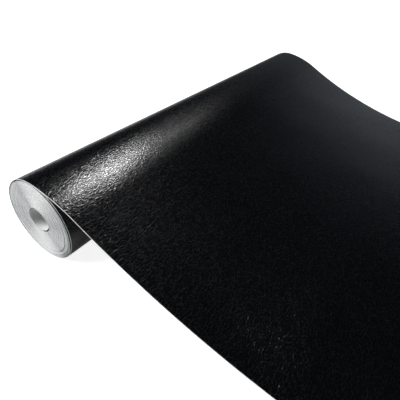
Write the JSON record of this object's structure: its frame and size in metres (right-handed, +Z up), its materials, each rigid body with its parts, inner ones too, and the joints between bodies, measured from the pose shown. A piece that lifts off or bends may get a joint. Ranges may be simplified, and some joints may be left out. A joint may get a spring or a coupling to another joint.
{
  "type": "roll of self-adhesive sign vinyl",
  "caption": "Coreless roll of black leather-grained self-adhesive vinyl on a white paper liner, its free end drawn off the top and laid out flat; the roll turns to feed the sheet.",
  "frame": {"origin": "centre of the roll's bore, half way along the roll", "axes": "+Y along the roll's axis; +X the way the sheet is drawn off; +Z up; the table is at z = -0.0325"},
  "size_m": [0.4111, 0.45, 0.065],
  "materials": {
    "film": "satin",
    "adhesive": "satin",
    "liner": "satin",
    "wound_laps": "matte"
  },
  "bodies": {
    "web": {"film_outer_lap": "film", "adhesive_outer_lap": "adhesive", "liner_outer_lap": "liner", "film_lead": "film", "adhesive_lead": "adhesive", "liner_lead": "liner", "film_flat": "film", "adhesive_flat": "adhesive", "liner_flat": "liner"},
    "roll": {"film_loose_laps": "film", "adhesive_loose_laps": "adhesive", "liner_loose_laps": "liner", "slack_laps": "wound_laps", "tight_laps": "wound_laps", "film_inner_lap": "film", "adhesive_inner_lap": "adhesive", "liner_inner_lap": "liner"},
    "free_end": {"film_free_end": "film", "adhesive_free_end": "adhesive", "liner_free_end": "liner"}
  },
  "joints": [
    {"name": "roll_turn", "type": "hinge", "parent": "web", "child": "roll", "pos_m": [0, 0, 0], "axis": [0, 1, 0], "range_deg": [-90, 360]},
    {"name": "sheet_feed", "type": "slide", "parent": "web", "child": "free_end", "axis": [1, 0, 0], "range_m": [-0.0512, 0.2043], "deforming": ["film_flat", "adhesive_flat", "liner_flat"]}
  ],
  "couplings": [
    {"joint": "sheet_feed", "follows": "roll_turn", "m_per_rad": 0.0325}
  ]
}
